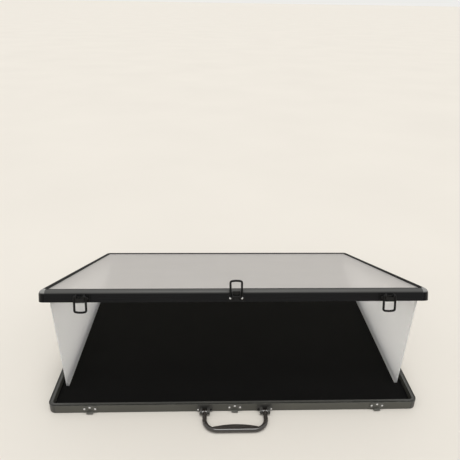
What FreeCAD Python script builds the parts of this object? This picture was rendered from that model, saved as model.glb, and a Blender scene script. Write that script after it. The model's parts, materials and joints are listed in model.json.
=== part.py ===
import FreeCAD, Part
import Sketcher
import math
import os

# Slim display case: hinged see-through lid propped open on two folding side panels, lined tray,
# carry handle and three wire latches. Millimetres, X to the right, Y to the rear, Z up.
# The origin is the centre of the tray's underside.

# Driving dimensions
DIMENSIONS = [
    ("case_width", "765", "outside width of both frames"),
    ("case_depth", "600", "outside depth of both frames"),
    ("base_height", "19", "height of the tray frame"),
    ("lid_height", "24", "height of the lid frame"),
    ("parting_gap", "0.4", "gap between the closed frames"),
    ("lid_angle", "21.7", "degrees that the lid stands open"),
    ("corner_radius", "15", "plan radius of the corner pieces"),
    ("tongue_length", "22", "corner tongue inside a rail"),
    ("fit_gap", "0.2", "clearance between fixed pieces"),
    ("run_gap", "0.05", "radial clearance round pins and rivets"),
    ("side_gap", "0.3", "side clearance beside a turning piece"),
    ("rail_wall", "2.2", "wall of the hollow rails"),
    ("base_rail_width", "8", "width of a tray rail"),
    ("groove_inset", "0.9", "outer face of a tray rail to the groove in its top"),
    ("groove_width", "2.4", "width of that groove"),
    ("groove_depth", "1.8", "depth of that groove"),
    ("groove_floor", "1.2", "metal under that groove"),
    ("board_lip", "1.5", "rail lip under the edge of the board"),
    ("board_slot", "4", "depth of the slot for the board"),
    ("board_thick", "3", "bottom board"),
    ("liner_thick", "4", "padded lining on the board"),
    ("lid_rail_width", "12", "width of a lid rail"),
    ("lid_round", "10", "rounding along the top of the lid frame"),
    ("lid_lip", "2.3", "rail lip over the lid sheet"),
    ("sheet_thick", "3", "lid sheet"),
    ("sheet_slot", "6", "depth of the slot for the lid sheet"),
    ("gasket_width", "2.5", "width of the gasket round the sheet"),
    ("gasket_height", "1.6", "height of that gasket"),
    ("rivet_radius", "1.25", "shank of a rivet"),
    ("rivet_head", "2.4", "radius of a rivet's head"),
    ("rivet_slope", "30", "degrees from a rivet's rim down to the dome's centre"),
    ("rivet_tail", "0.8", "rivet past the rail's wall"),
    ("hinge_inset", "122.5", "outer rear hinge from the side of the case"),
    ("knuckle_radius", "3", "knuckle of a rear hinge"),
    ("hinge_gap", "0.2", "knuckle to the rails' rear faces"),
    ("hinge_pin_radius", "1.5", "pin of a rear hinge"),
    ("leaf_half", "20", "half width of a hinge leaf"),
    ("leaf_thick", "1.5", "hinge leaf"),
    ("leaf_height", "11", "hinge leaf, from the pin to its edge"),
    ("leaf_rivet_x", "13", "leaf rivet from the leaf's middle"),
    ("leaf_rivet_z", "7.5", "leaf rivet from the pin"),
    ("lid_knuckle_half", "7.5", "half length of the lid leaf's knuckle"),
    ("latch_inset", "85.5", "outer latch from the side of the case"),
    ("plate_thick", "1.2", "latch and keeper plates"),
    ("keeper_half", "14.5", "half width of a keeper plate"),
    ("keeper_low", "4", "lower edge of a keeper plate"),
    ("keeper_high", "18.2", "upper edge of a keeper plate"),
    ("keeper_round", "3", "corner of a keeper plate"),
    ("keeper_rivet_x", "10.9", "side rivet from the keeper's middle"),
    ("keeper_rivet_z", "10.6", "height of the side rivets"),
    ("keeper_top_rivet_z", "14.2", "height of the middle rivet"),
    ("hook_half", "6.5", "half width of a keeper's hook"),
    ("hook_reach", "6.2", "hook in front of the rail"),
    ("hook_low", "3.4", "underside of the hook"),
    ("hook_thick", "1.2", "hook metal"),
    ("hook_tip", "1.4", "down-turned tip of the hook"),
    ("latch_half", "16", "half width of a latch plate"),
    ("latch_low", "1.2", "latch plate above the lid's lower edge"),
    ("latch_high", "13.6", "top of the latch plate"),
    ("latch_rivet_x", "11.3", "latch rivet from the latch's middle"),
    ("latch_rivet_z", "7.2", "latch rivet above the lid's lower edge"),
    ("lever_pivot_out", "7.9", "lever pin in front of the rail"),
    ("lever_pivot_z", "11.6", "lever pin above the lid's lower edge"),
    ("lever_pin_radius", "1", "lever pin"),
    ("ear_inner", "5.2", "inner side of a latch plate's ear"),
    ("ear_thick", "1.5", "latch plate's ear"),
    ("ear_round", "2.2", "round end of that ear"),
    ("cheek_thick", "1.4", "cheek of a lever"),
    ("lever_length", "10", "lever below its pin"),
    ("lever_depth", "4.9", "lever in front of its pin"),
    ("lever_web", "1.4", "front web of a lever"),
    ("lever_wall", "0.7", "lever metal round the bail's hole"),
    ("lever_draw", "0.8", "how far a lever's tip draws in"),
    ("lobe_start", "20", "degrees from upright where a lever's round head starts"),
    ("lobe_end", "10", "degrees above level where that head ends"),
    ("crank_length", "3.6", "lever pin to bail pivot"),
    ("crank_angle", "20", "degrees of that crank above level"),
    ("lever_swing", "175", "degrees that a lever turns up"),
    ("bail_lean", "5", "degrees that a raised bail leans back"),
    ("bail_droop", "5", "degrees that a lowered bail hangs inwards"),
    ("wire_radius", "2.1", "wire of a bail"),
    ("bail_half", "11.1", "bail leg from the latch's middle"),
    ("bail_reach", "30.8", "bail pivot to the middle of the bar"),
    ("bail_bend", "2.6", "bend at the top of a bail leg"),
    ("bail_corner", "3.5", "bend at the bottom of a bail leg"),
    ("bail_bow", "12", "degrees that each end of the bar is bowed"),
    ("handle_half", "62", "handle arm from the middle"),
    ("handle_pivot_out", "9", "handle pin in front of the rail"),
    ("handle_pivot_z", "7", "handle pin above the underside"),
    ("handle_pin_radius", "1.6", "handle pin"),
    ("bracket_half", "16", "half width of a handle bracket"),
    ("bracket_low", "1.2", "lower edge of a handle bracket"),
    ("bracket_high", "17.8", "upper edge of a handle bracket"),
    ("bracket_round", "4", "corner of a handle bracket"),
    ("bracket_thick", "1.5", "plate of a handle bracket"),
    ("bracket_rivet_x", "13.2", "bracket rivet from the arm's middle"),
    ("bracket_rivet_z", "5.6", "height of the bracket rivets"),
    ("lug_thick", "5.6", "lug beside a handle arm"),
    ("lug_round", "5", "round end of a lug"),
    ("arm_radius", "4.5", "handle bar"),
    ("boss_radius", "4.7", "end of a handle arm, round its pin"),
    ("boss_half", "4", "half width of that end"),
    ("handle_reach", "44.4", "handle pin to the middle of the bar"),
    ("handle_bend", "26", "bend of the handle bar"),
    ("grip_half", "45", "half length of the grip's web"),
    ("grip_shoulder", "7", "web's ends behind the bar's middle"),
    ("grip_depth", "12.4", "web's middle behind the bar's middle"),
    ("grip_thick", "7", "web of the grip"),
    ("grip_round", "2.5", "rounded inner edge of the web"),
    ("handle_rest_gap", "0.2", "resting bar above the ground"),
    ("panel_thick", "3", "side panels"),
    ("panel_inset", "10", "panel pivot inside the lid rail"),
    ("panel_pivot_z", "12", "panel pivot above the lid's lower edge"),
    ("panel_pin_radius", "1.5", "pin of a side panel"),
    ("panel_pin_length", "4", "panel pin inside its strip"),
    ("panel_tip", "4", "blunt lower front corner of a panel"),
    ("panel_set_back", "10", "front foot of a panel behind the plumb line"),
    ("panel_front_gap", "0.6", "panel behind the lid's front rail"),
    ("panel_notch", "8", "corner notches of a panel, below its pivot"),
    ("prop_gap", "0.3", "panel above the lining"),
    ("strip_rear_gap", "50.6", "edge strip in front of the lid's rear rail"),
    ("strip_half", "2.7", "half width of the edge strip"),
    ("strip_above", "2.5", "edge strip above its pivot"),
    ("strip_below", "5.5", "edge strip below its pivot"),
    ("strip_core", "2", "solid strip below its pivot"),
    ("angle_thick", "1.5", "angle bracket of a panel"),
    ("angle_half", "4", "half height of that bracket"),
    ("angle_leg", "32", "bracket along the lid rail"),
    ("angle_seat_gap", "3.5", "front bracket behind the lid's front rail"),
    ("angle_end_gap", "0.4", "bracket to the end of the strip"),
    ("angle_screw_y", "26", "screw from the bracket's end plate"),
]

# Sizes that follow from the driving dimensions
HALF_WIDTH = "Dims.case_width / 2"
HALF_DEPTH = "Dims.case_depth / 2"
LID_LOW = "(Dims.base_height + Dims.parting_gap)"
HINGE_OUT = "(Dims.knuckle_radius + Dims.hinge_gap)"
HINGE_Y = f"({HALF_DEPTH} + {HINGE_OUT})"
HINGE_Z = "(Dims.base_height + Dims.parting_gap / 2)"
OPEN = "(Dims.lid_angle * 1 deg)"
FLOOR_TOP = "(Dims.board_thick + Dims.liner_thick)"
HOLE = "(Dims.rivet_radius + Dims.run_gap)"
DRILL = "(Dims.rail_wall + Dims.rivet_tail)"
SHEET_LOW = "(Dims.lid_height - Dims.lid_lip - Dims.fit_gap - Dims.sheet_thick)"
EAR_OUTER = "(Dims.ear_inner + Dims.ear_thick)"
CHEEK_INNER = f"({EAR_OUTER} + Dims.side_gap)"
CHEEK_OUTER = f"({CHEEK_INNER} + Dims.cheek_thick)"
CRANK_Y = "-Dims.crank_length * cos(Dims.crank_angle * 1 deg)"
CRANK_Z = "Dims.crank_length * sin(Dims.crank_angle * 1 deg)"
LUG_INNER = "(Dims.arm_radius + Dims.side_gap)"
LUG_OUTER = f"({LUG_INNER} + Dims.lug_thick)"
LATCH_X = f"({HALF_WIDTH} - Dims.latch_inset)"
HINGE_X = f"({HALF_WIDTH} - Dims.hinge_inset)"
THREE_PLACES = [("left", "-1"), ("centre", "0"), ("right", "1")]
TWO_PLACES = [("left", "-1"), ("right", "1")]

doc = FreeCAD.newDocument("DisplayCase")
sheet = doc.addObject("Spreadsheet::Sheet", "Dims")
for row, (alias, value, note) in enumerate(DIMENSIONS, start=1):
    sheet.set(f"A{row}", note)
    sheet.set(f"B{row}", value)
    sheet.setAlias(f"B{row}", alias)
doc.recompute()

nodes = []


def number(expression):
    """The value of an expression on the sheet, in millimetres, degrees or as a plain number."""
    value = sheet.evalExpression(expression)
    return float(getattr(value, "Value", value))


# Sketch and feature helpers
def new_body(label):
    body = doc.addObject("PartDesign::Body", label)
    nodes.append(body)
    return body


def new_sketch(body, role, offset="0"):
    """A sketch on one of the body's origin planes, moved along the plane's normal by offset."""
    sketch = body.newObject("Sketcher::SketchObject", f"{body.Name}_sketch")
    planes = [item for item in body.Origin.OriginFeatures if item.Role == role]
    sketch.AttachmentSupport = [(planes[0], "")]
    sketch.MapMode = "FlatFace"
    sketch.setExpression("AttachmentOffset.Base.z", offset)
    return sketch


def dimension(sketch, kind, place, value, expression):
    index = sketch.addConstraint(Sketcher.Constraint(kind, *place, value))
    sketch.setExpression(f"Constraints[{index}]", expression)


def arc_between(start, end, radius, turn):
    """Arc of less than a half circle, or just one, that turns left or right on its way."""
    chord = end - start
    left = FreeCAD.Vector(-chord.y, chord.x, 0).normalize()
    side = 1 if turn == "left" else -1
    height = math.sqrt(max(radius ** 2 - (chord.Length / 2) ** 2, 0))
    centre = (start + end) * 0.5 + left * (side * height)
    return Part.Arc(start, centre - left * (side * radius), end)


def outline(sketch, points, closed=True):
    """Chain of lines and arcs. A point is (x, y), or (x, y, radius, turn) where an arc leaves it."""
    places = [FreeCAD.Vector(number(point[0]), number(point[1]), 0) for point in points]
    first = sketch.GeometryCount
    count = len(points) if closed else len(points) - 1
    ends = []
    for index in range(count):
        point = points[index]
        start = places[index]
        end = places[(index + 1) % len(points)]
        if len(point) > 2:
            radius = number(point[2])
            geometry = sketch.addGeometry(arc_between(start, end, radius, point[3]), False)
            dimension(sketch, "Radius", (geometry,), radius, point[2])
            ends.append((1, 2) if point[3] == "left" else (2, 1))
        else:
            sketch.addGeometry(Part.LineSegment(start, end), False)
            ends.append((1, 2))
    for index in range(count if closed else count - 1):
        follower = (index + 1) % count
        joint = (first + index, ends[index][1], first + follower, ends[follower][0])
        sketch.addConstraint(Sketcher.Constraint("Coincident", *joint))
    for index, point in enumerate(points):
        segment = min(index, count - 1)
        position = ends[segment][0] if index < count else ends[segment][1]
        corner = (-1, 1, first + segment, position)
        dimension(sketch, "DistanceX", corner, places[index].x, point[0])
        dimension(sketch, "DistanceY", corner, places[index].y, point[1])


def circle(sketch, x, y, radius):
    centre = FreeCAD.Vector(number(x), number(y), 0)
    shape = Part.Circle(centre, FreeCAD.Vector(0, 0, 1), number(radius))
    geometry = sketch.addGeometry(shape, False)
    dimension(sketch, "Radius", (geometry,), number(radius), radius)
    dimension(sketch, "DistanceX", (-1, 1, geometry, 3), centre.x, x)
    dimension(sketch, "DistanceY", (-1, 1, geometry, 3), centre.y, y)


def rounded_box(low_x, low_y, high_x, high_y, radius):
    """Corner points of an upright rectangle with round corners."""
    far_x = f"({high_x} - {radius})"
    far_y = f"({high_y} - {radius})"
    near_x = f"({low_x} + {radius})"
    near_y = f"({low_y} + {radius})"
    return [
        (near_x, low_y),
        (far_x, low_y, radius, "left"),
        (high_x, near_y),
        (high_x, far_y, radius, "left"),
        (far_x, high_y),
        (near_x, high_y, radius, "left"),
        (low_x, far_y),
        (low_x, near_y, radius, "left"),
    ]


def centred_box(half_x, half_y, radius):
    """Corner points of such a rectangle about the origin."""
    return rounded_box(f"-{half_x}", f"-{half_y}", half_x, half_y, radius)


def extrude(body, sketch, length, kind="Pad", symmetric=False, backwards=False):
    """Pad or pocket of a sketch. A pocket must take something away."""
    before = body.Shape.Volume if kind == "Pocket" else 0
    feature = body.newObject(f"PartDesign::{kind}", f"{body.Name}_{kind.lower()}")
    feature.Profile = sketch
    feature.SideType = "Symmetric" if symmetric else "One side"
    feature.Reversed = backwards
    feature.setExpression("Length", length)
    doc.recompute()
    if kind == "Pocket" and body.Shape.Volume > before - 1e-6:
        raise RuntimeError(f"{body.Label}: a pocket cuts nothing")
    return feature


def drill(body, points, radius, depth, offset="0", backwards=False):
    """Round holes into the face on the body's XZ plane, or on a plane behind it."""
    sketch = new_sketch(body, "XZ_Plane", offset)
    for x, z in points:
        circle(sketch, x, z, radius)
    extrude(body, sketch, depth, "Pocket", backwards=backwards)


def cross_hole(body, points, radius, length):
    """Round holes along X, centred on the body."""
    sketch = new_sketch(body, "YZ_Plane")
    for y, z in points:
        circle(sketch, y, z, radius)
    extrude(body, sketch, length, "Pocket", symmetric=True)


def placed(x="0", y="0", z="0", turn=0):
    spin = FreeCAD.Rotation(FreeCAD.Vector(0, 0, 1), turn)
    return FreeCAD.Placement(FreeCAD.Vector(number(x), number(y), number(z)), spin)


def tilt(degrees, y="0", z="0"):
    """Turn about a line along X: what lies in front goes up."""
    spin = FreeCAD.Rotation(FreeCAD.Vector(-1, 0, 0), degrees)
    centre = FreeCAD.Vector(0, number(y), number(z))
    return FreeCAD.Placement(FreeCAD.Vector(), spin, centre)


LID_OPEN = tilt(number("Dims.lid_angle"), HINGE_Y, HINGE_Z)


# Frames: rails and corner pieces share their sections
def base_section(across):
    """Outer outline of a tray rail. across turns a distance from the outer face into a coordinate."""
    slot_high = "(Dims.board_thick + Dims.fit_gap)"
    groove_far = "(Dims.groove_inset + Dims.groove_width)"
    groove_low = "(Dims.base_height - Dims.groove_depth)"
    slot_deep = "(Dims.base_rail_width - Dims.board_slot)"
    return [
        (across("0"), "0"),
        (across("Dims.base_rail_width"), "0"),
        (across("Dims.base_rail_width"), "Dims.board_lip"),
        (across(slot_deep), "Dims.board_lip"),
        (across(slot_deep), slot_high),
        (across("Dims.base_rail_width"), slot_high),
        (across("Dims.base_rail_width"), "Dims.base_height"),
        (across(groove_far), "Dims.base_height"),
        (across(groove_far), groove_low),
        (across("Dims.groove_inset"), groove_low),
        (across("Dims.groove_inset"), "Dims.base_height"),
        (across("0"), "Dims.base_height"),
    ]


def base_chamber(across, gap="0"):
    low = f"Dims.board_thick + Dims.fit_gap + Dims.rail_wall + {gap}"
    high = f"Dims.base_height - Dims.groove_depth - Dims.groove_floor - {gap}"
    near = across(f"(Dims.rail_wall + {gap})")
    far = across(f"(Dims.base_rail_width - Dims.rail_wall - {gap})")
    return [(near, low), (far, low), (far, high), (near, high)]


def lid_section(across, turn):
    """Outer outline of a lid rail, with its rounded top and the slot for the sheet."""
    slot_high = "(Dims.lid_height - Dims.lid_lip)"
    slot_deep = "(Dims.lid_rail_width - Dims.sheet_slot)"
    return [
        (across("0"), "0"),
        (across("Dims.lid_rail_width"), "0"),
        (across("Dims.lid_rail_width"), SHEET_LOW),
        (across(slot_deep), SHEET_LOW),
        (across(slot_deep), slot_high),
        (across("Dims.lid_rail_width"), slot_high),
        (across("Dims.lid_rail_width"), "Dims.lid_height"),
        (across("Dims.lid_round"), "Dims.lid_height", "Dims.lid_round", turn),
        (across("0"), "Dims.lid_height - Dims.lid_round"),
    ]


def lid_chamber(across, gap="0"):
    low = f"Dims.rail_wall + {gap}"
    high = f"{SHEET_LOW} - Dims.rail_wall - {gap}"
    near = across(f"(Dims.rail_wall + {gap})")
    far = across(f"(Dims.lid_rail_width - Dims.rail_wall - {gap})")
    return [(near, low), (far, low), (far, high), (near, high)]


def inward(distance):
    return distance


def round_corner(distance):
    return f"Dims.corner_radius - {distance}"


def make_rail(label, section, chamber, length):
    """Hollow rail along X with its outer face on the XZ plane."""
    body = new_body(label)
    sketch = new_sketch(body, "YZ_Plane")
    outline(sketch, section)
    outline(sketch, chamber)
    extrude(body, sketch, length, symmetric=True)
    return body


def make_corner(label, section, tongue):
    """Quarter turn of the rail's section with a tongue for each rail. It fills the +X +Y corner."""
    body = new_body(label)
    sketch = new_sketch(body, "XZ_Plane")
    outline(sketch, section)
    turned = body.newObject("PartDesign::Revolution", f"{label}_turn")
    turned.Profile = sketch
    turned.ReferenceAxis = (sketch, ["V_Axis"])
    turned.Angle = 90
    doc.recompute()
    if turned.Shape.BoundBox.YMax < 1:
        turned.Reversed = True
    for role, backwards in (("XZ_Plane", False), ("YZ_Plane", True)):
        sketch = new_sketch(body, role)
        outline(sketch, tongue)
        extrude(body, sketch, "Dims.tongue_length", backwards=backwards)
    return body


SIDES = [
    ("front", "0", f"-{HALF_DEPTH}", 0, "case_width"),
    ("rear", "0", HALF_DEPTH, 180, "case_width"),
    ("left", f"-{HALF_WIDTH}", "0", -90, "case_depth"),
    ("right", HALF_WIDTH, "0", 90, "case_depth"),
]
CORNERS = [
    ("rear_right", 1, 1, 0),
    ("rear_left", -1, 1, 90),
    ("front_left", -1, -1, 180),
    ("front_right", 1, -1, 270),
]


def make_frame(name, section, chamber, corner_section, tongue, low, opening):
    """Four rails and four corner pieces, returned by their names."""
    frame = {}
    for side, x, y, turn, size in SIDES:
        length = f"Dims.{size} - 2 * Dims.corner_radius"
        rail = make_rail(f"{name}_{side}_rail", section, chamber, length)
        rail.Placement = opening * placed(x, y, low, turn)
        frame[side] = rail
    for place, x, y, turn in CORNERS:
        corner = make_corner(f"{name}_corner_{place}", corner_section, tongue)
        across = f"{x} * ({HALF_WIDTH} - Dims.corner_radius)"
        along = f"{y} * ({HALF_DEPTH} - Dims.corner_radius)"
        corner.Placement = opening * placed(across, along, low, turn)
    return frame


def make_sheet(label, layers, holes=()):
    """Flat piece of round-cornered layers, each (half_x, half_y, radius, low, thickness)."""
    body = new_body(label)
    for half_x, half_y, radius, low, thickness in layers:
        sketch = new_sketch(body, "XY_Plane", low)
        outline(sketch, centred_box(half_x, half_y, radius))
        for hole in holes:
            outline(sketch, centred_box(*hole))
        extrude(body, sketch, thickness)
    return body


def inside(distance):
    """Half sizes and corner radius of a rectangle that stays distance inside the case's outline."""
    half_x = f"({HALF_WIDTH} - {distance})"
    half_y = f"({HALF_DEPTH} - {distance})"
    return half_x, half_y, f"(Dims.corner_radius - {distance})"


# Fasteners
def make_rivets(label, seats):
    """Domed rivets. A seat is a placement with +Z out of the head, and the depth of its shank."""
    rivets = []
    for index, (seat, depth) in enumerate(seats):
        shank = doc.addObject("Part::Cylinder", f"{label}_shank{index}")
        shank.setExpression("Radius", "Dims.rivet_radius")
        shank.setExpression("Height", depth)
        shank.Placement = FreeCAD.Placement(FreeCAD.Vector(0, 0, -number(depth)), FreeCAD.Rotation())
        dome = doc.addObject("Part::Sphere", f"{label}_dome{index}")
        dome.setExpression("Radius", "Dims.rivet_head / cos(Dims.rivet_slope * 1 deg)")
        dome.setExpression("Angle1", "Dims.rivet_slope * 1 deg")
        drop = number("Dims.rivet_head * tan(Dims.rivet_slope * 1 deg)")
        dome.Placement = FreeCAD.Placement(FreeCAD.Vector(0, 0, -drop), FreeCAD.Rotation())
        rivet = doc.addObject("Part::Fuse", f"{label}_rivet{index}")
        rivet.Base = dome
        rivet.Tool = shank
        rivet.Placement = seat
        rivets.append(rivet)
    group = doc.addObject("Part::Compound", label)
    group.Links = rivets
    nodes.append(group)


def facing(x, y, z, direction):
    """Seat whose outward side faces a direction."""
    spin = FreeCAD.Rotation(FreeCAD.Vector(0, 0, 1), FreeCAD.Vector(*direction))
    return FreeCAD.Placement(FreeCAD.Vector(number(x), number(y), number(z)), spin)


def make_pins(label, radius, pins):
    """Round pins along a line. A pin is a placement with its axis on +Z, and its length."""
    rods = []
    for index, (seat, length) in enumerate(pins):
        rod = doc.addObject("Part::Cylinder", f"{label}_pin{index}")
        rod.setExpression("Radius", radius)
        rod.setExpression("Height", length)
        centred = FreeCAD.Placement(FreeCAD.Vector(0, 0, -number(length) / 2), FreeCAD.Rotation())
        rod.Placement = seat * centred
        rods.append(rod)
    group = doc.addObject("Part::Compound", label)
    group.Links = rods
    nodes.append(group)


# Tray
def make_tray():
    frame = make_frame(
        "base",
        base_section(inward),
        base_chamber(inward),
        base_section(round_corner),
        base_chamber(round_corner, "Dims.fit_gap"),
        "0",
        placed(),
    )
    front_holes = []
    for _, side in THREE_PLACES:
        middle = f"{side} * {LATCH_X}"
        front_holes += [(f"{middle} + {x}", z) for x, z in KEEPER_RIVETS]
    for _, side in TWO_PLACES:
        middle = f"{side} * Dims.handle_half"
        front_holes += [(f"{middle} + {x}", "Dims.bracket_rivet_z") for x in BRACKET_RIVETS]
    drill(frame["front"], front_holes, HOLE, DRILL)
    drill(frame["rear"], leaf_holes(HINGE_Z, "-"), HOLE, DRILL)
    slot = "(Dims.base_rail_width - Dims.board_slot + Dims.fit_gap)"
    flush = "(Dims.base_rail_width + Dims.fit_gap)"
    edge_low = "(Dims.board_lip + Dims.fit_gap / 2)"
    layers = [
        (*inside(flush), "0", edge_low),
        (*inside(slot), edge_low, f"Dims.board_thick - {edge_low}"),
    ]
    make_sheet("base_board", layers)
    make_sheet("tray_lining", [(*inside(flush), "Dims.board_thick", "Dims.liner_thick")])


KEEPER_RIVETS = [
    ("-Dims.keeper_rivet_x", "Dims.keeper_rivet_z"),
    ("Dims.keeper_rivet_x", "Dims.keeper_rivet_z"),
    ("0", "Dims.keeper_top_rivet_z"),
]
BRACKET_RIVETS = ["-Dims.bracket_rivet_x", "Dims.bracket_rivet_x"]


def leaf_holes(height, sign):
    """Rivet holes of the three rear hinges, in the frame of a rear rail."""
    holes = []
    for _, side in THREE_PLACES:
        for x in ("-Dims.leaf_rivet_x", "Dims.leaf_rivet_x"):
            holes.append((f"{side} * {HINGE_X} + {x}", f"{height} {sign} Dims.leaf_rivet_z"))
    return holes


def make_keeper(label, middle):
    """Plate on the tray's front rail with a hook that the bail's bar goes under."""
    body = new_body(label)
    sketch = new_sketch(body, "XZ_Plane")
    outline(sketch, rounded_box(
        "-Dims.keeper_half", "Dims.keeper_low", "Dims.keeper_half", "Dims.keeper_high", "Dims.keeper_round",
    ))
    for x, z in KEEPER_RIVETS:
        circle(sketch, x, z, HOLE)
    extrude(body, sketch, "Dims.plate_thick")
    hook = new_sketch(body, "YZ_Plane")
    top = "(Dims.hook_low + Dims.hook_thick)"
    inner = "-(Dims.hook_reach - Dims.hook_thick)"
    outline(hook, [
        ("0", "Dims.hook_low"),
        ("0", "Dims.keeper_low + Dims.keeper_round"),
        ("-Dims.plate_thick", "Dims.keeper_low + Dims.keeper_round"),
        ("-Dims.plate_thick", top),
        (inner, top, "Dims.hook_thick", "left"),
        ("-Dims.hook_reach", "Dims.hook_low"),
        ("-Dims.hook_reach", "Dims.hook_low - Dims.hook_tip"),
        (inner, "Dims.hook_low - Dims.hook_tip"),
        (inner, "Dims.hook_low"),
    ])
    extrude(body, hook, "2 * Dims.hook_half", symmetric=True)
    body.Placement = placed(middle, f"-{HALF_DEPTH}")


def make_keepers():
    seats = []
    for name, side in THREE_PLACES:
        middle = f"{side} * {LATCH_X}"
        make_keeper(f"keeper_{name}", middle)
        for x, z in KEEPER_RIVETS:
            seat = facing(f"{middle} + {x}", f"-({HALF_DEPTH} + Dims.plate_thick)", z, (0, -1, 0))
            seats.append((seat, f"Dims.plate_thick + {DRILL}"))
    make_rivets("keeper_rivets", seats)


# Carry handle
def make_bracket(label, middle):
    """Riveted plate with two lugs for the pin of one handle arm."""
    body = new_body(label)
    sketch = new_sketch(body, "XZ_Plane")
    outline(sketch, rounded_box(
        "-Dims.bracket_half", "Dims.bracket_low", "Dims.bracket_half", "Dims.bracket_high",
        "Dims.bracket_round",
    ))
    for x in BRACKET_RIVETS:
        circle(sketch, x, "Dims.bracket_rivet_z", HOLE)
    extrude(body, sketch, "Dims.bracket_thick")
    lugs = new_sketch(body, "YZ_Plane")
    high = "(Dims.handle_pivot_z + Dims.lug_round)"
    low = "(Dims.handle_pivot_z - Dims.lug_round)"
    outline(lugs, [
        ("0", high),
        ("-Dims.handle_pivot_out", high, "Dims.lug_round", "left"),
        ("-(Dims.handle_pivot_out + Dims.lug_round)", "Dims.handle_pivot_z", "Dims.lug_round", "left"),
        ("-Dims.handle_pivot_out", low),
        ("0", low),
    ])
    extrude(body, lugs, f"2 * {LUG_OUTER}", symmetric=True)
    gap = new_sketch(body, "YZ_Plane")
    far = "-(Dims.handle_pivot_out + 2 * Dims.lug_round)"
    outline(gap, [
        ("-Dims.bracket_thick", f"{low} - Dims.lug_round"),
        ("-Dims.bracket_thick", f"{high} + Dims.lug_round"),
        (far, f"{high} + Dims.lug_round"),
        (far, f"{low} - Dims.lug_round"),
    ])
    extrude(body, gap, f"2 * {LUG_INNER}", "Pocket", symmetric=True)
    bore = "(Dims.handle_pin_radius + Dims.run_gap)"
    cross_hole(body, [("-Dims.handle_pivot_out", "Dims.handle_pivot_z")], bore, f"3 * {LUG_OUTER}")
    body.Placement = placed(middle, f"-{HALF_DEPTH}")


def make_handle():
    """Round bar bent to a loop, with a web that fills the hand and a boss round each pin."""
    body = new_body("carry_handle")
    web = new_sketch(body, "XY_Plane")
    rise = "(Dims.grip_depth - Dims.grip_shoulder)"
    crown = f"((Dims.grip_half ^ 2 + {rise} ^ 2) / (2 * {rise}))"
    shoulder = "-(Dims.handle_reach - Dims.grip_shoulder)"
    outline(web, [
        ("-Dims.grip_half", shoulder),
        ("-Dims.grip_half", "-Dims.handle_reach"),
        ("Dims.grip_half", "-Dims.handle_reach"),
        ("Dims.grip_half", shoulder, crown, "left"),
    ])
    extrude(body, web, "Dims.grip_thick", symmetric=True)
    round_edges(body, number(crown), "Dims.grip_round")
    path = new_sketch(body, "XY_Plane")
    turn_x = "(Dims.handle_half - Dims.handle_bend)"
    turn_y = "-(Dims.handle_reach - Dims.handle_bend)"
    outline(path, [
        ("-Dims.handle_half", "0"),
        ("-Dims.handle_half", turn_y, "Dims.handle_bend", "left"),
        (f"-{turn_x}", "-Dims.handle_reach"),
        (turn_x, "-Dims.handle_reach", "Dims.handle_bend", "left"),
        ("Dims.handle_half", turn_y),
        ("Dims.handle_half", "0"),
    ], closed=False)
    ring = new_sketch(body, "XZ_Plane")
    circle(ring, "-Dims.handle_half", "0", "Dims.arm_radius")
    bar = body.newObject("PartDesign::AdditivePipe", "carry_handle_bar")
    bar.Profile = ring
    bar.Spine = path
    doc.recompute()
    for side in ("-", ""):
        boss = new_sketch(body, "YZ_Plane", f"{side}Dims.handle_half")
        circle(boss, "0", "0", "Dims.boss_radius")
        extrude(body, boss, "2 * Dims.boss_half", symmetric=True)
    bore = "(Dims.handle_pin_radius + Dims.run_gap)"
    cross_hole(body, [("0", "0")], bore, "3 * Dims.handle_half")
    drop = "(Dims.handle_pivot_z - Dims.arm_radius - Dims.handle_rest_gap)"
    rest = -number(f"asin({drop} / Dims.handle_reach)")
    pivot = placed("0", f"-({HALF_DEPTH} + Dims.handle_pivot_out)", "Dims.handle_pivot_z")
    body.Placement = pivot * tilt(rest)


def round_edges(body, radius, size):
    """Fillet on the edges whose arc has a given radius."""
    base = body.Tip
    edges = []
    for index, edge in enumerate(base.Shape.Edges, start=1):
        if hasattr(edge.Curve, "Radius") and abs(edge.Curve.Radius - radius) < 1e-4:
            edges.append(f"Edge{index}")
    fillet = body.newObject("PartDesign::Fillet", f"{body.Name}_fillet")
    fillet.Base = (base, edges)
    fillet.setExpression("Radius", size)
    doc.recompute()


def make_handle_set():
    rivets = []
    screws = []
    pins = []
    for name, side in TWO_PLACES:
        middle = f"{side} * Dims.handle_half"
        make_bracket(f"handle_bracket_{name}", middle)
        face = f"-({HALF_DEPTH} + Dims.bracket_thick)"
        depth = f"Dims.bracket_thick + {DRILL}"
        outer = f"{middle} + {side} * Dims.bracket_rivet_x"
        inner = f"{middle} - {side} * Dims.bracket_rivet_x"
        rivets.append((facing(outer, face, "Dims.bracket_rivet_z", (0, -1, 0)), depth))
        screws.append((facing(inner, face, "Dims.bracket_rivet_z", (0, -1, 0)), depth))
        pivot_y = f"-({HALF_DEPTH} + Dims.handle_pivot_out)"
        pins.append((facing(middle, pivot_y, "Dims.handle_pivot_z", (1, 0, 0)), f"2 * {LUG_OUTER}"))
    make_rivets("bracket_outer_rivets", rivets)
    make_rivets("bracket_inner_rivets", screws)
    make_pins("handle_pins", "Dims.handle_pin_radius", pins)
    make_handle()


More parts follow.
